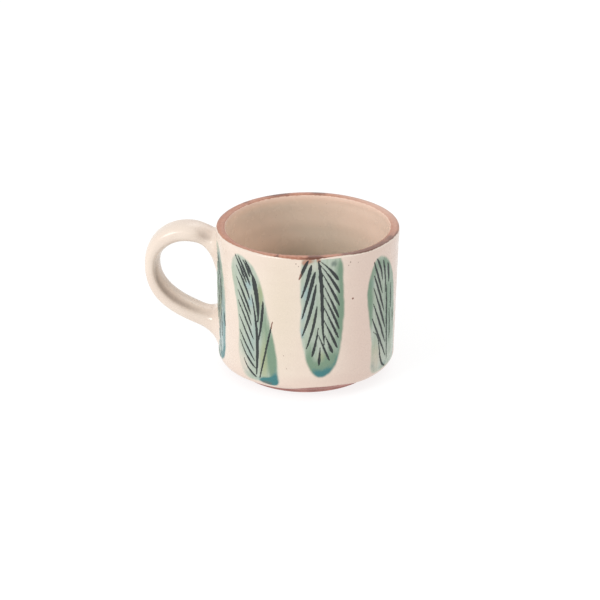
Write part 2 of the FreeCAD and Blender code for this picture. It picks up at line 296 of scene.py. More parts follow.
def blurred(grid, across, up):
    """Gaussian blur on the (row, column) grid; it closes round the mug."""
    out = grid
    for axis, sigma in ((1, across), (0, up)):
        reach = max(1, int(3 * sigma))
        weights = np.exp(-0.5 * (np.arange(-reach, reach + 1) / sigma) ** 2)
        weights /= weights.sum()
        total = np.zeros_like(out)
        for k, w in zip(range(-reach, reach + 1), weights):
            if axis == 1:
                total += w * np.roll(out, k, axis=1)
            else:
                rows = np.clip(np.arange(out.shape[0]) + k, 0, out.shape[0] - 1)
                total += w * out[rows]
        out = total
    return out


def widened(grid, steps, pick):
    """Grow (np.maximum) or shrink (np.minimum) an area on the grid."""
    out = grid
    for _ in range(steps):
        up = np.vstack([out[1:], out[-1:]])
        down = np.vstack([out[:1], out[:-1]])
        out = pick.reduce([out, np.roll(out, 1, 1), np.roll(out, -1, 1), up, down])
    return out


# The eight leaves: degrees round the mug, kind, and 1 as drawn or -1 turned over.
LEAVES = [(-69.7, "narrow", 1), (-30.3, "leaning", 1), (15.1, "upright", 1), (66.3, "falling", 1),
          (111.0, "upright", -1), (156.0, "leaning", -1), (201.0, "falling", -1), (246.5, "narrow", 1)]
WASH_NODES = ["leaf_wash_%d" % i for i in range(1, len(LEAVES) + 1)]
LINE_NODES = ["leaf_lines_%d" % i for i in range(1, len(LEAVES) + 1)]

# Where the brushed colours pooled on each kind of leaf:
# (mm from the leaf's middle, mm up, reach across mm, reach up mm, amount)
POOLS = {
    "green": {
        "leaning": [(6.5, 37, 2.2, 7, 0.7), (11.0, 21, 2.0, 9, 1.4), (-12, 58, 1.5, 8, 0.3),
                    (4, 53, 1.5, 6, 0.3)],
        "upright": [(-5.3, 21, 1.9, 6, 0.9), (0, 15.5, 6, 2.8, 1.3), (5.5, 20, 3, 4, 0.9),
                    (9.6, 45, 1.8, 15, 1.2), (9.0, 64, 2.2, 4, 0.7), (-2, 33, 2, 6, 0.3),
                    (4, 36, 3, 14, 0.25), (0, 14.0, 4.5, 1.8, 0.8)],
        "falling": [(-14.0, 48, 1.9, 8, 1.1), (-12.3, 36, 1.6, 7, 0.6), (-11, 60, 2, 4, 0.5),
                    (3, 48, 6, 14, 0.8), (-3, 62, 5, 2.5, 0.6), (6, 25, 6, 12, 0.6)],
        "narrow": [(3.8, 50, 2.5, 8, 0.9), (0, 44, 3, 12, 0.6), (-3, 52, 3, 7, 0.4)],
    },
    "olive": {
        "leaning": [(4.8, 51, 1.4, 5, 1.0), (6.8, 17, 2.0, 7, 0.9), (-12, 57, 1.8, 8, 0.4),
                    (7.5, 33, 2.5, 9, 0.5)],
        "upright": [(0.5, 22, 1.6, 2.6, 0.9), (-3.5, 41, 1.0, 2.4, 0.5), (1.5, 67, 2, 2, 0.3)],
        "falling": [(-8, 18, 4, 8, 0.45)],
        "narrow": [(3, 38, 3, 10, 0.5), (-4, 24, 3, 7, 0.4)],
    },
    "blue": {
        "leaning": [(-1.5, 54, 1.7, 2.0, 1.0), (-0.5, 46.5, 1.3, 2.2, 0.8), (1.0, 32, 2.2, 12, 0.5),
                    (-3, 20, 3, 8, 0.4), (5.0, 30, 1.3, 6, 0.4)],
        "upright": [(-9, 34.5, 1.1, 2.0, 1.0), (-8.5, 43, 1.3, 2.8, 0.8), (-7.5, 54, 1.6, 3.4, 0.8),
                    (8.4, 26, 1.2, 5, 0.6), (-4, 50, 2.2, 6, 0.4), (4, 40, 2, 10, 0.3)],
        "falling": [(-12.8, 53.5, 1.8, 2.2, 0.9), (2, 30, 3, 12, 0.4), (-2, 60, 2, 3, 0.4)],
        "narrow": [(2.5, 58, 1.5, 4, 0.9), (0, 18, 6, 8, 0.8), (6.5, 30, 2.2, 14, 1.1)],
    },
    "teal": {
        "leaning": [(10.3, 7.9, 2.7, 1.3, 3.0), (12.2, 9.6, 1.4, 1.8, 1.3), (7.5, 8.0, 2, 0.8, 1.0)],
        "upright": [(0, 12.3, 5.4, 1.9, 0.7), (8.0, 20, 1.3, 3.4, 0.8), (-8.7, 33.0, 1.0, 1.6, 0.8),
                    (3.0, 15.5, 4, 2, 0.5)],
        "falling": [(0, 9, 2, 1.2, 0.3)],
        "narrow": [(7.6, 26, 2.0, 13, 0.95), (5, 10.0, 3.0, 1.5, 1.0), (6, 47, 1.0, 4, 0.4)],
    },
    "faint": {
        "leaning": [(-6, 13, 3.6, 6, 0.8), (-11.5, 64, 2.5, 3, 0.4), (-9, 26, 1.5, 8, 0.4),
                    (14.6, 15, 0.8, 5, 1.2)],
        "upright": [(-3.5, 66.5, 3, 2.5, 0.5)],
        "falling": [(-8, 13, 4.5, 7, 0.6)],
        "narrow": [(-6, 14, 4, 6, 0.4)],
    },
    "smudge": {
        "leaning": [(8.0, 7.3, 2.2, 0.7, 1.4)],
        "upright": [(5.4, 67.2, 1.3, 1.3, 1.0), (4.0, 14.6, 0.8, 0.5, 0.5)],
        "falling": [(-6, 62.5, 2, 1.2, 0.3), (6, 36, 6, 16, 0.36), (-6, 48, 3, 10, 0.25)],
        "narrow": [(3.2, 50, 1.6, 9, 0.7), (0.0, 60, 1.5, 4, 0.5), (0, 32, 7, 18, 0.42)],
    },
    "rust": {
        "leaning": [],
        "upright": [(-6.2, 68.9, 2.0, 0.9, 1.0), (-1.6, 69.4, 0.8, 1.2, 1.0), (-8, 67.5, 1.2, 0.8, 0.7)],
        "falling": [],
        "narrow": [],
    },
}


def pools(angle, z, colour):
    """How strongly one brushed colour lies at each point."""
    total = np.zeros_like(angle)
    for degrees, kind, flip in LEAVES:
        s = flip * np.radians(apart(angle, degrees)) * RIM_R / MM
        for across, up, reach, rise, amount in POOLS[colour][kind]:
            total += amount * bell(s, across, reach) * bell(z / MM, up, rise)
    return total


def unrolled(coat, angle, row, rows):
    """The coat's own map: four quarters of the outside side by side, its hidden back in a thin strip."""
    mesh = coat.data
    corner = np.zeros(len(mesh.loops), np.int32)
    mesh.loops.foreach_get("vertex_index", corner)
    size = np.zeros(len(mesh.polygons), np.int32)
    mesh.polygons.foreach_get("loop_total", size)
    owner = np.repeat(np.arange(len(size)), size)
    turn = np.mod(angle / (2 * math.pi), 1.0)[corner]
    first = turn[np.concatenate([[0], np.cumsum(size)[:-1]])][owner]
    turn = turn + np.round(first - turn)
    middle = (np.bincount(owner, turn) / size)[owner]
    quarter = np.floor(np.mod(middle, 1.0) * 4)
    turn = turn - np.floor(middle)
    up = row[corner] / (rows - 1)
    highest = np.zeros(len(size))
    np.maximum.at(highest, owner, row[corner])
    front = (highest < rows)[owner]
    gap, strip = 0.004, 0.03    # round each quarter, and for the hidden back
    margin, across = 0.002, 0.994
    tall = (1 - strip) / 2
    u = (quarter % 2) * 0.5 + gap + (turn * 4 - quarter) * (0.5 - 2 * gap)
    v = strip + (quarter // 2) * tall + gap + up * (tall - 2 * gap)
    last = row.max()
    back_row = np.where(row[corner] < rows - 1, last + 1, row[corner])
    back_v = margin + (back_row - rows + 1) / (last + 2 - rows) * (strip - 4 * margin)
    places = np.stack([np.where(front, u, margin + across * turn), np.where(front, v, back_v)], 1)
    layer = mesh.uv_layers.new(name="OFBake")
    layer.uv.foreach_set("vector", np.clip(places, 0, 1).astype(np.float32).ravel())


def read_drawing(face_out, outward, r, z):
    """For each outside point: mm to the nearest cut line, below 0 inside it, and 1 on a wash."""
    lines, washes = tree_of(LINE_NODES), tree_of(WASH_NODES)
    cut = np.full(len(r), FAR_OFF)
    washed = np.zeros(len(r))
    mid = outward * (r - COAT / 2)[:, None]
    mid[:, 2] = np.minimum(z, LIP_Z - 0.02 * MM)
    for i in np.nonzero(face_out)[0]:
        p, way = Vector(mid[i]), Vector(outward[i])
        near = lines.find_nearest(p, FAR_OFF * MM)
        if near[0] is not None:
            inside_cut = lines.ray_cast(p, way, 1 * MM)[0] is not None
            cut[i] = near[3] / MM * (-1 if inside_cut else 1)
        washed[i] = 1.0 if washes.ray_cast(p, way, 1 * MM)[0] is not None else 0.0
    return cut, washed


def relief(cut, angle, z, edge):
    """Mm above the coat's plain form: carved lines and burr, ripples, lip and lower edge."""
    down = (LIP_Z - z) / MM
    up = (z - edge) / MM
    depth = -LINE_DEPTH * smooth(0.12, -0.22, cut) + BURR * bell(cut, 0.35, 0.16)
    ripple = 0.04 * np.sin(z / MM * 1.1 + waves(angle, 0, 41, 3, 1)) + 0.06 * waves(angle, z, 42, 6, 3)
    bead = EDGE_BEAD * bell(up, 0.9, 0.45)
    taper = -EDGE_TAPER * (1 - smooth(0, 0.6, up)) ** 2
    shoulder = LIP_SHOULDER * bell(down, 2.8, 1.5) * (1 + 0.5 * waves(angle, 0, 43, 5, 3))
    return (depth + ripple) * smooth(0, 3, down) + shoulder * smooth(0, 1, down) + bead + taper


def drawn_coat():
    """The cream slip and glaze outside, with the leaves brushed on and cut through it."""
    outside = joined(
        [(float(outer_radius(z)), float(z)) for z in np.linspace(LOWEST, CORNER_Z, CORNER_STEPS)],
        run_of((CORNER_R, CORNER_Z), (RIM_R, LIP_Z), WALL_STEPS),
    )
    inside = joined(
        run_of((RIM_R - COAT, LIP_Z), (CORNER_R - COAT, CORNER_Z), 3),
        arc((CORNER_R - CORNER_RUN, CORNER_Z), CORNER_RUN - COAT, CORNER_RISE, 0, -30, 3),
    )
    rows = len(outside)
    coat = turned("drawn_coat", outside + inside, COLUMNS)
    co = points_of(coat)
    row = rows_of(coat)
    face_out = row < rows
    # object angle 0 faces -Y, growing towards +X
    angle = np.arctan2(co[:, 0], -co[:, 1])
    column = np.round(angle / (2 * math.pi) * COLUMNS).astype(int) % COLUMNS

    # slide the lowest rows so that the coat stops along its uneven edge
    edge = glaze_edge(angle)
    z = co[:, 2]
    z = z + np.where(z < LOWEST + FITTED, (edge - LOWEST) * (1 - (z - LOWEST) / FITTED), 0)
    r = np.where(face_out, outer_radius(z), outer_radius(z) - COAT)

    def grid(values):
        out = np.zeros((rows, COLUMNS))
        out[row[face_out], column[face_out]] = values[face_out]
        return out

    def back(table):
        out = np.zeros(len(row))
        out[face_out] = table[row[face_out], column[face_out]]
        return out

    outward = np.stack([np.sin(angle), -np.cos(angle), np.zeros_like(angle)], 1)
    cut, washed = read_drawing(face_out, outward, r, z)

    # close the gaps that the lines leave in the washes, and soften the washes' edges
    area = grid(washed)
    area = widened(widened(area, 3, np.maximum), 3, np.minimum)
    soft = blurred(area, 1.0 / GRID_STEP, 1.1 / GRID_STEP)
    inner_edge = blurred(area, 2.2 / GRID_STEP, 2.6 / GRID_STEP)

    # draw the boldest strokes a little finer, but never close one up
    cut_grid = grid(cut)
    bold = widened(np.clip(-0.22 - cut_grid, 0, 0.5), 2, np.maximum)
    finer = np.where(face_out, cut + 0.75 * back(blurred(bold, 0.8, 0.8)), cut)
    cut = np.where(cut < 0, np.minimum(finer, -0.10), finer)
    wash = back(soft)
    rim_pool = back(np.clip(soft - inner_edge, 0, 1))
    strokes_near = back(blurred(smooth(0.4, -0.1, cut_grid), 1.6 / GRID_STEP, 1.6 / GRID_STEP))

    r = r + np.where(face_out, relief(cut, angle, z, edge) * MM, 0)
    co = outward * r[:, None]
    co[:, 2] = z
    move_points(coat, hand_thrown(co))
    sharpen(coat, 60)
    give(coat, "cut", np.where(face_out, cut, FAR_OFF))
    give(coat, "wash", wash)
    give(coat, "edge_pool", rim_pool)
    give(coat, "stroke_shade", strokes_near)
    for colour in POOLS:
        strength = pools(angle, z, colour)
        if colour == "teal":
            strength += 3.4 * rim_pool * bell(z / MM, 12.5, 4)
        give(coat, colour, strength)
    give(coat, "yellow", bell(apart(angle, -9), 0, 11) * bell(z / MM, 45, 24))
    # pinker and darker on the right side: partly the glaze's own tone, partly painted shade
    give(coat, "pink_and_shade", smooth(8, 45, apart(angle, 0)) * smooth(150, 100, apart(angle, 0)))
    give(coat, "above_edge", (z - edge) / MM)
    give(coat, "below_lip", (LIP_Z - z) / MM + 0.6 * smooth(0.15, 0.4, lap(angle)))
    unrolled(coat, angle, row, rows)
    return coat


# ------------------------------------------------------------------ lip and lining
# Dark patches on the wiped lip: (degrees round the mug, reach in degrees, amount)
LIP_PATCHES = [(46, 17, 0.85), (74, 8, 0.55), (10, 3.8, 0.95), (-13, 0.7, 0.8),
               (207, 7, 1.0), (178, 6, 0.8), (232, 3, 0.55), (150, 4, 0.35), (-100, 6, 0.35)]


def lip_band():
    half = LIP_WIDTH / 2
    profile = joined(
        arc((LIP_MIDDLE, LIP_Z), half, LIP_RISE, 0, 180, 26),
        arc((LIP_MIDDLE, LIP_Z), half - 0.5 * MM, LIP_RISE * 0.4, 180, 0, 10),
    )
    band = turned("lip_band", profile, 420)
    co = points_of(band)
    angle = np.arctan2(co[:, 0], -co[:, 1])
    across = (np.hypot(co[:, 0], co[:, 1]) - LIP_MIDDLE) / MM
    give(band, "across", across)
    give(band, "umber", sum(amount * bell(apart(angle, place), 0, reach)
                            for place, reach, amount in LIP_PATCHES))
    give(band, "lap", lap(angle))
    give(band, "faded", bell(apart(angle, 130), 0, 24))
    top = co[:, 2] > LIP_Z + 0.5 * LIP_RISE
    co[:, 2] += 0.06 * MM * top * waves(angle, 0, 61, 7, 4)
    move_points(band, hand_thrown(co))
    sharpen(band, 60)
    return band


LINING_STEPS = (90, 16, 26)     # down the wall, round the corner, across the floor


def cup_lining():
    wall_steps, corner_steps, floor_steps = LINING_STEPS
    corner = (INNER_FLOOR_R - FLOOR_CORNER, FLOOR_Z + FLOOR_CORNER)
    profile = joined(
        run_of((INNER_LIP_R, LIP_Z), (INNER_FLOOR_R, corner[1]), wall_steps),
        arc(corner, FLOOR_CORNER, FLOOR_CORNER, 0, -90, corner_steps),
        run_of((corner[0], FLOOR_Z), (0, FLOOR_Z), floor_steps),
        run_of((0, FLOOR_Z - LINER), (corner[0], FLOOR_Z - LINER), 3),
        arc(corner, FLOOR_CORNER + LINER, FLOOR_CORNER + LINER, -90, 0, 6),
        run_of((INNER_FLOOR_R + LINER, corner[1]), (INNER_LIP_R + LINER, LIP_Z), 4),
    )
    lining = turned("cup_lining", profile, 300)
    co = points_of(lining)
    row = rows_of(lining)
    angle = np.arctan2(co[:, 1], co[:, 0])
    far = np.maximum(np.hypot(co[:, 0], co[:, 1]), MM)
    z = co[:, 2]
    seen = row < sum(LINING_STEPS)
    down = (LIP_Z - z) / MM
    fade = smooth(0.5, 4, down) * seen
    ring = 0.04 * np.sin(z / MM * 0.75 + 0.8 * waves(angle, 0, 51, 3, 1))
    ring = ring + 0.08 * waves(angle, z, 52, 6, 2)
    roll = -0.16 * bell(down, 1.3, 0.9) * smooth(0, 0.8, down) * seen
    co[:, :2] *= (1 + (ring * fade + roll) * MM / far * smooth(5, 20, far / MM))[:, None]
    floor = seen * smooth(0.2, 1, (FLOOR_Z + 5 * MM - z) / (5 * MM))
    co[:, 2] += floor * 0.08 * MM * np.sin(far / MM * 0.7 + waves(angle, 0, 53, 2, 1))

    # painted shade down in the cup and across the far wall, painted light on the left inner wall; the
    # fields fade out at the floor's centre
    round_mug = np.arctan2(co[:, 0], -co[:, 1])
    off_centre = smooth(3, 26, far / MM)
    # painted shade, darker and greener down in the cup
    deep = smooth(14, 36, down) * bell(apart(round_mug, 185), 0, 36)
    give(lining, "deep", deep * off_centre + 0.4 * (1 - off_centre))
    # painted light: the left inner wall lighter and warmer
    give(lining, "rosy_light", bell(apart(round_mug, -105), 0, 36))
    # painted shade across the far wall
    turned_by = apart(round_mug, 200) + 2.3 * (down - 9)
    turned_by = (turned_by + 180) % 360 - 180
    dusky_shade = smooth(0.5, 5, down) * bell(turned_by, 0, 34) * (0.7 + 0.3 * smooth(12, 18, down))
    give(lining, "dusky_shade", dusky_shade * off_centre + 0.4 * (1 - off_centre))
    give(lining, "below_lip", down)
    move_points(lining, hand_thrown(co))
    sharpen(lining, 60)
    return lining


# ------------------------------------------------------------------ the pulled handle
# Centre line: (reach beyond the rim radius, mm; share of the height).
HANDLE_PATH = [(-4.0, 0.745), (4.5, 0.886), (20.0, 0.908), (29.1, 0.801),
               (30.7, 0.622), (28.3, 0.528), (14.0, 0.359), (-4.0, 0.272)]
STRAP_WIDTH = 15.4
STRAP_THICKNESS = 8.3
STRAP_THINNING = 1.7
THINNING_FALLOFF = 6        # high power: only the upright stretch is thinned
UPPER_FLARE = 0.32          # extra thickness at the root, as a share
LOWER_FLARE = 0.95
FLARE_LENGTH = 6.5
SQUARENESS = 2.6
GROOVES = [(-5.3, 2.0, 1.1, 1.0), (5.2, 1.9, 0.6, 0.5)]    # side, half width, depth in mm; strength of the painted shade in the groove
GROOVE_MIDDLE = 0.68        # place of the grooves along the strap, as a share
GROOVE_SPREAD = 0.21
RINGS = 220
ROUND = 96
EMBED_R = 40.4              # the roots end inside the wall, mm from the axis
ROOT_FILLET = 3.0
ROOT_BELOW_LIP = 1.2        # the hidden roots stay this far under the lip, mm

# Hollows left by the thumb where the roots were pressed on: (place mm, depth mm, reach mm)
THUMB_MARKS = [((-47.6, -6.4, 65.2), 2.0, 4.2), ((-49.5, 6.5, 63.5), 1.1, 3.4),
               ((-48.8, 7.0, 24.0), 0.8, 3.0)]


def smooth_path(points):
    """Natural cubic through the points, by chord length; returns place and direction at s."""
    p = np.array(points, float)
    knots = np.concatenate([[0], np.cumsum(np.linalg.norm(np.diff(p, axis=0), axis=1))])
    n = len(p)
    h = np.diff(knots)
    system = np.eye(n)
    right = np.zeros((n, 2))
    for i in range(1, n - 1):
        system[i, i - 1:i + 2] = h[i - 1], 2 * (h[i - 1] + h[i]), h[i]
        right[i] = 6 * ((p[i + 1] - p[i]) / h[i] - (p[i] - p[i - 1]) / h[i - 1])
    bend = np.linalg.solve(system, right)

    def at(s):
        i = min(max(int(np.searchsorted(knots, s)) - 1, 0), n - 2)
        a, b = knots[i + 1] - s, s - knots[i]
        k = h[i]
        return (bend[i] * a ** 3 + bend[i + 1] * b ** 3) / (6 * k) \
            + (p[i] / k - bend[i] * k / 6) * a + (p[i + 1] / k - bend[i + 1] * k / 6) * b

    return at, knots[-1]


def pulled_handle():
    """The strap drawn along its path, flared at both roots, with the finger grooves inside."""
    at, length = smooth_path([(RIM_R / MM + r, share * HEIGHT / MM) for r, share in HANDLE_PATH])
    bm = bmesh.new()
    order = bm.verts.layers.int.new("order")
    groove_shade = bm.verts.layers.float.new("groove_shade")
    made = bmesh.ops.create_circle(bm, segments=ROUND, radius=1.0)
    ring = sorted(made["verts"], key=lambda v: math.atan2(v.co.y, v.co.x) % (2 * math.pi))
    for k, v in enumerate(ring):
        v[order] = k
    edges = list(bm.edges)
    rings = [ring]
    for _ in range(RINGS):
        out = bmesh.ops.extrude_edge_only(bm, edges=edges)["geom"]
        edges = [g for g in out if isinstance(g, bmesh.types.BMEdge) and len(g.link_faces) == 1]
        fresh = [g for g in out if isinstance(g, bmesh.types.BMVert)]
        rings.append(sorted(fresh, key=lambda v: v[order]))
    for i, ring in enumerate(rings):
        s = length * i / RINGS
        here = at(s)
        ahead, behind = at(min(s + 0.2, length)), at(max(s - 0.2, 0))
        along = (ahead - behind) / np.linalg.norm(ahead - behind)
        out_way = np.array([-along[1], along[0]])
        upright = abs(along[1]) ** THINNING_FALLOFF
        grow = 1 + UPPER_FLARE * math.exp(-(s / FLARE_LENGTH) ** 2)
        grow += LOWER_FLARE * math.exp(-((length - s) / FLARE_LENGTH) ** 2)
        half_t = (STRAP_THICKNESS - STRAP_THINNING * upright) * grow / 2
        half_w = STRAP_WIDTH * math.sqrt(grow) / 2
        deep = math.exp(-((s / length - GROOVE_MIDDLE) / GROOVE_SPREAD) ** 2)
        for k, v in enumerate(ring):
            a = 2 * math.pi * k / ROUND
            c, sn = math.cos(a), math.sin(a)
            lift = -math.copysign(abs(c) ** (2 / SQUARENESS), c) * half_t
            side = math.copysign(abs(sn) ** (2 / SQUARENESS), sn) * half_w
            for middle, half_width, depth, recess_shade in GROOVES:
                hollow = deep * math.exp(-((side - middle) / half_width) ** 2) if c > 0 else 0.0
                lift += depth * hollow
                # painted shade, strongest in the middle of each groove
                v[groove_shade] = max(v[groove_shade], recess_shade * hollow)
            reach = here + out_way * lift
            v.co = (-reach[0] * MM, side * MM, reach[1] * MM)
    bmesh.ops.holes_fill(bm, edges=[e for e in bm.edges if e.is_boundary], sides=0)
    bmesh.ops.recalc_face_normals(bm, faces=bm.faces)
    return piece("pulled_handle", bm)


def normals_of(obj):
    found = np.zeros(len(obj.data.vertices) * 3)
    obj.data.vertices.foreach_get("normal", found)
    return found.reshape(-1, 3)


def fit_roots(handle):
    """Spread both roots onto the wall in a smooth fillet and end them inside it."""
    co, normals = points_of(handle), normals_of(handle)
    far = np.hypot(co[:, 0], co[:, 1])
    clear = (far - outer_radius(co[:, 2])) / MM
    radial = np.stack([co[:, 0] / far, co[:, 1] / far, np.zeros_like(far)], 1)
    slide = normals - radial * np.sum(normals * radial, 1)[:, None]
    length = np.linalg.norm(slide, axis=1)
    slide /= np.maximum(length, 1e-6)[:, None]
    t = clear / ROOT_FILLET
    outside = np.clip(1 - t, 0, 1) ** 2
    hidden = 1 - 2 * np.maximum(t, -0.25)
    spread = ROOT_FILLET * np.where(t > 0, outside, hidden) * np.minimum(length * 2, 1)
    co = co + slide * (spread * MM)[:, None]
    inside_wall = np.hypot(co[:, 0], co[:, 1]) < outer_radius(co[:, 2])
    co[:, 2] = np.where(inside_wall, np.minimum(co[:, 2], LIP_Z - ROOT_BELOW_LIP * MM), co[:, 2])
    far = np.hypot(co[:, 0], co[:, 1])
    short = np.maximum(EMBED_R * MM / far, 1)
    co[:, :2] *= short[:, None]
    move_points(handle, co)


def press_marks(handle):
    """Soft hollows left by the thumb beside the roots, with painted shade in them."""
    co, normals = points_of(handle), normals_of(handle)
    recess_shade = np.zeros(len(co))
    for place, depth, reach in THUMB_MARKS:
        d = np.linalg.norm(co - np.array(place) * MM, axis=1) / MM
        # painted shade in each thumb hollow
        recess_shade += np.exp(-(d / reach) ** 2)
        co -= normals * (depth * MM * np.exp(-(d / reach) ** 2))[:, None]
    move_points(handle, co)
    give(handle, "recess_shade", np.minimum(recess_shade, 1))


# ------------------------------------------------------------------ finishes
class Finish:
    """A material being wired up."""

    def __init__(self, name):
        self.material = bpy.data.materials.new(name)
        self.material.use_nodes = True
        self.tree = self.material.node_tree
        self.shader = self.tree.nodes["Principled BSDF"]
        self.place = self.add("ShaderNodeTexCoord").outputs["Object"]

    def add(self, kind, **values):
        made = self.tree.nodes.new(kind)
        for key, value in values.items():
            setattr(made, key, value)
        return made

    def join(self, value, socket):
        if isinstance(value, bpy.types.NodeSocket):
            self.tree.links.new(value, socket)
        else:
            socket.default_value = value

    def sum(self, kind, a, b=0.0, clamp=False):
        made = self.add("ShaderNodeMath", operation=kind, use_clamp=clamp)
        self.join(a, made.inputs[0])
        self.join(b, made.inputs[1])
        return made.outputs[0]

    def field(self, name):
        return self.add("ShaderNodeAttribute", attribute_name=name).outputs["Fac"]

    def cloud(self, size_mm, detail=3.0, rough=0.55, stretch=(1, 1, 1), shift=(0, 0, 0)):
        """Noise with features about size_mm across, 0 to 1 and centred on 0.5."""
        turn = self.add("ShaderNodeMapping")
        self.join(self.place, turn.inputs["Vector"])
        turn.inputs["Scale"].default_value = stretch
        turn.inputs["Location"].default_value = shift
        made = self.add("ShaderNodeTexNoise")
        self.join(turn.outputs[0], made.inputs["Vector"])
        made.inputs["Scale"].default_value = 1000.0 / size_mm
        made.inputs["Detail"].default_value = detail
        made.inputs["Roughness"].default_value = rough
        return made.outputs["Fac"]

    def ramp(self, value, low, high, to_low=0.0, to_high=1.0, soft=True):
        made = self.add("ShaderNodeMapRange", interpolation_type="SMOOTHSTEP" if soft else "LINEAR")
        self.join(value, made.inputs["Value"])
        for key, number in (("From Min", low), ("From Max", high), ("To Min", to_low), ("To Max", to_high)):
            self.join(number, made.inputs[key])
        return made.outputs["Result"]

    def blend(self, share, under, over):
        made = self.add("ShaderNodeMix", data_type="RGBA", clamp_factor=True)
        self.join(share, made.inputs["Factor"])
        for value, socket in ((under, made.inputs[6]), (over, made.inputs[7])):
            self.join(value, socket)
        return made.outputs[2]

    def specks(self, spacing_mm, size, share, shift=(0, 0, 0)):
        """Sparse round specks: 1 inside a speck, 0 elsewhere."""
        turn = self.add("ShaderNodeMapping")
        self.join(self.place, turn.inputs["Vector"])
        turn.inputs["Location"].default_value = shift
        made = self.add("ShaderNodeTexVoronoi")
        self.join(turn.outputs[0], made.inputs["Vector"])
        made.inputs["Scale"].default_value = 1000.0 / spacing_mm
        near = self.ramp(made.outputs["Distance"], size, size * 0.5)
        pick = self.add("ShaderNodeSeparateColor")
        self.join(made.outputs["Color"], pick.inputs[0])
        return self.sum("MULTIPLY", near, self.ramp(pick.outputs[0], 1 - share, 1 - share + 0.02))

    def spot(self, place, size_mm):
        """1 within size_mm of a place on the outside: (degrees round the mug, mm up)."""
        turn, up = math.radians(place[0]), place[1] * MM
        r = float(outer_radius(up))
        middle = hand_thrown(np.array([[r * math.sin(turn), -r * math.cos(turn), up]]))[0]
        made = self.add("ShaderNodeVectorMath", operation="DISTANCE")
        self.join(self.place, made.inputs[0])
        made.inputs[1].default_value = tuple(middle)
        edge = uneven(self, made.outputs["Value"], self.cloud(0.5, 2, 0.6), 0.5 * size_mm * MM)
        return self.ramp(edge, 1.15 * size_mm * MM, 0.75 * size_mm * MM)

    def bump(self, height, depth_mm, after=None):
        made = self.add("ShaderNodeBump")
        made.inputs["Distance"].default_value = depth_mm * MM
        self.join(height, made.inputs["Height"])
        if after is not None:
            self.join(after, made.inputs["Normal"])
        return made.outputs["Normal"]

    def finish(self, colour, roughness, normal=None):
        self.join(colour, self.shader.inputs["Base Color"])
        self.join(roughness, self.shader.inputs["Roughness"])
        if normal is not None:
            self.join(normal, self.shader.inputs["Normal"])
        return self.material


def shade(r, g, b):
    """A colour as the eye names it, 0 to 255, made linear for the shader."""
    def lin(c):
        c /= 255
        return c / 12.92 if c <= 0.04045 else ((c + 0.055) / 1.055) ** 2.4
    return (lin(r), lin(g), lin(b), 1.0)


CREAM = shade(223, 208, 194)
CREAM_WARM = shade(220, 203, 189)
CREAM_YELLOW = shade(212, 198, 179)
CREAM_PINK_SHADE = shade(213, 190, 177)
CREAM_PALE = shade(226, 213, 201)
CREAM_RECESS_SHADE = shade(158, 141, 129)
SPECK = shade(128, 108, 96)
SAGE_PALE = shade(176, 186, 172)
SAGE = shade(158, 172, 152)
GREEN = shade(98, 131, 106)
OLIVE = shade(150, 160, 116)
BLUE_GREY = shade(146, 172, 172)
TEAL = shade(0, 106, 110)
SMUDGE = shade(66, 88, 84)
HALO = shade(106, 130, 126)
INK = shade(20, 27, 30)
INK_GREY = shade(48, 58, 58)
INK_BROWN = shade(132, 88, 72)
TERRACOTTA = shade(168, 110, 86)
TERRACOTTA_PALE = shade(188, 136, 112)
UMBER = shade(100, 58, 42)
CLAY = shade(186, 136, 127)
CLAY_DARK = shade(156, 108, 102)
CLAY_PALE = shade(206, 162, 152)
TAN = shade(233, 210, 193)
TAN_DEEP = shade(224, 202, 184)
TAN_DEPTH_SHADE = shade(176, 165, 148)
TAN_PAINTED_LIGHT = shade(248, 221, 199)
TAN_PAINTED_SHADE = shade(200, 188, 172)
TAN_PALE = shade(232, 204, 186)


# Iron spots and pits under the lip: ((degrees round the mug, mm up), radius mm, colour)
IRON_SPOTS = [((35.4, 49.3), 0.50, INK_BROWN), ((35.4, 49.3), 0.28, UMBER), ((-0.7, 67.6), 0.30, SPECK),
              ((0.9, 66.4), 0.26, SPECK), ((33.0, 67.0), 0.34, SPECK), ((31.8, 65.6), 0.26, SPECK),
              ((38.4, 66.2), 0.24, SPECK), ((-8.0, 22.5), 0.22, SPECK), ((-6.0, 16.0), 0.22, SPECK)]


def cream(f):
    """Cream glaze: soft mottling, a few grey-brown specks."""
    base = f.blend(f.ramp(f.cloud(18, 3, 0.55), 0.36, 0.66), CREAM, CREAM_WARM)
    base = f.blend(f.ramp(f.cloud(2.6, 3, 0.6), 0.52, 0.78, 0, 0.22), base, CREAM_PALE)
    dots = f.specks(3.0, 0.085, 0.14)
    return f.blend(f.sum("MULTIPLY", dots, 0.42), base, SPECK)


def uneven(f, value, noise, amount):
    """A field with noise laid over it, so that its edge wanders."""
    return f.sum("ADD", value, f.sum("MULTIPLY", f.sum("SUBTRACT", noise, 0.5), amount))


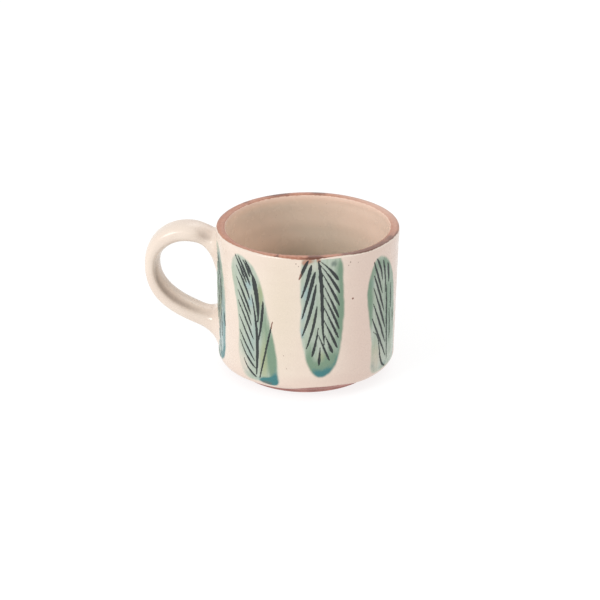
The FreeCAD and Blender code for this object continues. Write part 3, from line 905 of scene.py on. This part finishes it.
def coat_finish():
    f = Finish("cream_slip_with_leaves")
    fine = f.cloud(1.1, 3, 0.6)
    brush = f.cloud(2.6, 4, 0.6, stretch=(1.0, 1.0, 0.30))
    streak = f.cloud(1.5, 3, 0.6, stretch=(1.0, 1.0, 0.12), shift=(0.3, 0.1, 0))

    colour = cream(f)
    colour = f.blend(f.sum("MULTIPLY", f.field("yellow"), 0.8), colour, CREAM_YELLOW)
    # right side pinker and darker: partly the glaze's own tone, partly painted shade
    colour = f.blend(f.sum("MULTIPLY", f.field("pink_and_shade"), 0.8), colour, CREAM_PINK_SHADE)
    # painted shade: the cream darker and pinker towards the foot
    colour = f.blend(f.ramp(f.field("above_edge"), 9, 1.5, 0, 0.6), colour, CREAM_PINK_SHADE)

    # brushed washes, each colour pooled where the brush left it
    wash = uneven(f, f.field("wash"), brush, 0.42)
    cover = f.ramp(wash, 0.22, 0.78)
    thinned = f.ramp(uneven(f, f.field("faint"), brush, 0.3), 0.1, 1.0, 1.0, 0.25)
    cover = f.sum("MULTIPLY", cover, thinned)
    teal = f.ramp(uneven(f, f.field("teal"), fine, 0.8), 0.25, 1.35)
    flooded = f.sum("MULTIPLY", f.ramp(f.field("teal"), 1.5, 2.2), f.ramp(wash, 0.1, 0.35))
    cover = f.sum("MAXIMUM", cover, flooded)
    tint = f.blend(f.ramp(streak, 0.32, 0.70), SAGE_PALE, SAGE)
    tint = f.blend(f.ramp(uneven(f, f.field("olive"), brush, 0.5), 0.15, 1.0, 0, 0.9), tint, OLIVE)
    tint = f.blend(f.ramp(uneven(f, f.field("blue"), streak, 0.5), 0.15, 1.0, 0, 0.85), tint, BLUE_GREY)
    tint = f.blend(f.sum("MULTIPLY", f.field("stroke_shade"), 0.38), tint, HALO)
    green = f.sum("ADD", f.field("green"), f.sum("MULTIPLY", f.field("edge_pool"), 0.15))
    tint = f.blend(f.ramp(uneven(f, green, streak, 0.6), 0.12, 1.0, 0, 0.95), tint, GREEN)
    tint = f.blend(teal, tint, TEAL)
    tint = f.blend(f.ramp(uneven(f, f.field("smudge"), fine, 0.6), 0.25, 1.0, 0, 0.75), tint, SMUDGE)
    colour = f.blend(f.sum("MULTIPLY", cover, 0.95), colour, tint)
    colour = f.blend(f.ramp(uneven(f, f.field("rust"), fine, 0.6), 0.25, 0.9, 0, 0.8), colour, TERRACOTTA)

    # cut lines, dark where the wash ran into them and brown at their bare tips
    ragged = uneven(f, f.field("cut"), fine, 0.38)
    line = f.ramp(ragged, 0.13, -0.05)
    ink = f.blend(f.ramp(f.field("wash"), 0.25, 0.55), INK_BROWN, INK)
    ink = f.blend(f.ramp(fine, 0.55, 0.8, 0, 0.6), ink, INK_GREY)
    colour = f.blend(f.sum("MULTIPLY", line, 0.97), colour, ink)

    # one dark iron spot, small pits under the lip, and the thin lower edge
    for place, size, tone in IRON_SPOTS:
        colour = f.blend(f.spot(place, size), colour, tone)
    thin = uneven(f, f.field("above_edge"), f.cloud(0.9, 3, 0.6), 0.7)
    colour = f.blend(f.ramp(thin, 0.65, 0.15), colour, CLAY_DARK)
    lip_edge = uneven(f, f.field("below_lip"), f.cloud(2.6, 3, 0.6), 0.7)
    colour = f.blend(f.ramp(lip_edge, 0.25, -0.05), colour, TERRACOTTA)

    rough = f.ramp(f.cloud(5, 3, 0.5), 0.3, 0.7, 0.20, 0.34)
    rough = f.ramp(line, 0, 1, rough, 0.45)
    pits = f.specks(2.3, 0.12, 0.16, shift=(0.07, 0.02, 0.05))
    skin = f.bump(f.cloud(3.0, 3, 0.55), 0.05)
    skin = f.bump(pits, -0.06, skin)
    skin = f.bump(f.ramp(ragged, 0.15, -0.15), -0.10, skin)
    return f.finish(colour, rough, skin)


def handle_finish():
    f = Finish("cream_glaze")
    # painted shade in the finger grooves and the thumb hollows
    recess_shade = f.sum("ADD", f.field("groove_shade"), f.sum("MULTIPLY", f.field("recess_shade"), 0.75))
    recess_shade = uneven(f, recess_shade, f.cloud(3, 3, 0.55), 0.3)
    colour = f.blend(f.ramp(recess_shade, 0.1, 1.0, 0, 0.75), cream(f), CREAM_RECESS_SHADE)
    rough = f.ramp(f.cloud(5, 3, 0.5), 0.3, 0.7, 0.20, 0.32)
    skin = f.bump(f.cloud(3.0, 3, 0.55), 0.05)
    skin = f.bump(f.specks(2.3, 0.12, 0.16), -0.06, skin)
    return f.finish(colour, rough, skin)


def lip_finish():
    f = Finish("wiped_lip")
    grain = f.cloud(1.2, 3, 0.6)
    patch = f.cloud(6, 4, 0.6)
    across = uneven(f, f.field("across"), f.cloud(1.6, 3, 0.6), 0.7)
    colour = f.blend(f.ramp(grain, 0.35, 0.7), TERRACOTTA, TERRACOTTA_PALE)
    dark = uneven(f, f.field("umber"), patch, 1.1)
    outer = f.ramp(across, -1.6, 0.2, 0.45, 1.0)
    colour = f.blend(f.sum("MULTIPLY", f.ramp(dark, 0.35, 0.85, 0, 0.9), outer), colour, UMBER)
    outline = f.sum("MULTIPLY", f.ramp(across, 1.05, 1.55), f.ramp(dark, -0.2, 0.6))
    colour = f.blend(f.sum("MULTIPLY", outline, 0.8), colour, UMBER)
    colour = f.blend(f.sum("MULTIPLY", f.specks(1.8, 0.2, 0.2), 0.5), colour, CLAY_DARK)
    colour = f.blend(f.sum("MULTIPLY", f.field("faded"), 0.4), colour, TAN_PALE)
    colour = f.blend(f.ramp(across, -1.75, -2.05), colour, TAN_PALE)
    lapped = f.ramp(f.sum("ADD", across, f.field("lap")), 2.15, 2.4)
    colour = f.blend(lapped, colour, CREAM)
    rough = f.ramp(grain, 0.3, 0.7, 0.28, 0.44)
    rough = f.ramp(lapped, 0, 1, rough, 0.18)
    level = f.blend(lapped, f.cloud(1.6, 4, 0.6), (0.5, 0.5, 0.5, 1))
    return f.finish(colour, rough, f.bump(level, 0.06))


def lining_finish():
    f = Finish("cup_glaze")
    colour = f.blend(f.ramp(f.cloud(24, 3, 0.5), 0.35, 0.68), TAN, TAN_DEEP)
    colour = f.blend(f.ramp(f.cloud(2.4, 4, 0.6), 0.5, 0.75, 0, 0.2), colour, TAN_PALE)
    # painted light on the left inner wall
    colour = f.blend(f.field("rosy_light"), colour, TAN_PAINTED_LIGHT)
    # painted shade across the far wall
    dusky_shade = uneven(f, f.field("dusky_shade"), f.cloud(9, 3, 0.5), 0.3)
    colour = f.blend(f.ramp(dusky_shade, 0.0, 1.0, soft=False), colour, TAN_PAINTED_SHADE)
    # painted shade, darker and greener down in the cup
    deep = uneven(f, f.field("deep"), f.cloud(14, 3, 0.5), 0.3)
    colour = f.blend(f.ramp(deep, 0.05, 1.0), colour, TAN_DEPTH_SHADE)
    height = uneven(f, f.field("below_lip"), f.cloud(2.6, 4, 0.6), 0.9)
    colour = f.blend(f.ramp(height, 2.2, 0.8, 0, 0.7), colour, TAN_PALE)
    colour = f.blend(f.sum("MULTIPLY", f.specks(3.0, 0.09, 0.2), 0.45), colour, SPECK)
    rough = f.ramp(f.cloud(6, 3, 0.5), 0.3, 0.7, 0.18, 0.30)
    return f.finish(colour, rough, f.bump(f.cloud(4.0, 3, 0.5), 0.05))


def clay_finish():
    f = Finish("bare_clay")
    soft = f.cloud(7, 4, 0.6)
    grain = f.cloud(0.6, 3, 0.7)
    colour = f.blend(f.ramp(soft, 0.35, 0.65), CLAY, CLAY_DARK)
    colour = f.blend(f.ramp(grain, 0.5, 0.8, 0, 0.5), colour, CLAY_PALE)
    colour = f.blend(f.sum("MULTIPLY", f.specks(1.6, 0.16, 0.25), 0.6), colour, UMBER)
    return f.finish(colour, f.ramp(grain, 0.3, 0.7, 0.55, 0.75), f.bump(grain, 0.12))


def dress(obj, material, slot, *nodes):
    obj.data.materials.clear()
    obj.data.materials.append(material)
    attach(obj, "root")
    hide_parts(*nodes)


body = clay_body()
coat = drawn_coat()
band = lip_band()
lining = cup_lining()
handle = pulled_handle()
fit_roots(handle)
press_marks(handle)
move_points(handle, hand_thrown(points_of(handle)))

dress(body, clay_finish(), "bare_clay", "thrown_body")
dress(coat, coat_finish(), "cream_coat", "outer_glaze", *WASH_NODES, *LINE_NODES)
dress(band, lip_finish(), "lip_glaze", "rim_band")
dress(lining, lining_finish(), "cup_glaze", "liner_glaze")
dress(handle, handle_finish(), "handle_cream", "handle_glaze", "handle_strap",
      "upper_slip_joint", "lower_slip_joint")


# ------------------------------------------------------------------ floor, light and camera
FLOOR_GLOW = 0.80
SKY_GLOW = 0.82


def floor():
    bm = bmesh.new()
    bmesh.ops.create_grid(bm, x_segments=2, y_segments=2, size=4.0)
    made = piece("floor", bm)
    f = Finish("pale_floor")
    f.finish(f.blend(f.cloud(400, 2), (0.22, 0.22, 0.22, 1), (0.24, 0.24, 0.24, 1)), 0.9)
    f.shader.inputs["Emission Color"].default_value = (1, 1, 1, 1)
    f.shader.inputs["Emission Strength"].default_value = FLOOR_GLOW
    f.shader.inputs["Specular IOR Level"].default_value = 0.1
    made.data.materials.append(f.material)


def lamp(name, place, aim, size, power, colour=(1, 1, 1)):
    light = bpy.data.lights.new(name, "AREA")
    light.shape = "RECTANGLE"
    light.size, light.size_y = size
    light.energy = power
    light.color = colour
    made = bpy.data.objects.new(name, light)
    made.location = place
    made.rotation_euler = (Vector(aim) - Vector(place)).to_track_quat("-Z", "Y").to_euler()
    bpy.context.scene.collection.objects.link(made)


floor()
lamp("key", (-0.75, -0.75, 0.75), (0, 0, 0.03), (0.5, 0.5), 7)
lamp("fill", (0.9, -0.6, 0.5), (0, 0, 0.03), (0.8, 0.8), 1)
lamp("back", (0.2, 0.9, 0.8), (0, 0, 0.04), (0.8, 0.5), 1.5)

world = bpy.data.worlds.new("studio")
world.use_nodes = True
world.node_tree.nodes["Background"].inputs["Color"].default_value = (1, 1, 1, 1)
world.node_tree.nodes["Background"].inputs["Strength"].default_value = SKY_GLOW
bpy.context.scene.world = world
bpy.context.scene.view_settings.view_transform = "Standard"

CAM_ROUND = math.radians(6.3)
CAM_UP = 0.4220             # radians above level
CAM_FAR = 0.8
camera_data = bpy.data.cameras.new("camera")
camera_data.lens = 101.5
camera_data.shift_x = -0.0113
camera_data.shift_y = -0.0108
camera = bpy.data.objects.new("camera", camera_data)
lean_mid = LEAN * HEIGHT / 2
target = Vector((lean_mid * math.cos(LEAN_TOWARDS), lean_mid * math.sin(LEAN_TOWARDS), HEIGHT / 2))
camera.location = target + CAM_FAR * Vector((math.sin(CAM_ROUND) * math.cos(CAM_UP),
                                             -math.cos(CAM_ROUND) * math.cos(CAM_UP), math.sin(CAM_UP)))
camera.rotation_euler = (target - camera.location).to_track_quat("-Z", "Y").to_euler()
bpy.context.scene.collection.objects.link(camera)
bpy.context.scene.camera = camera
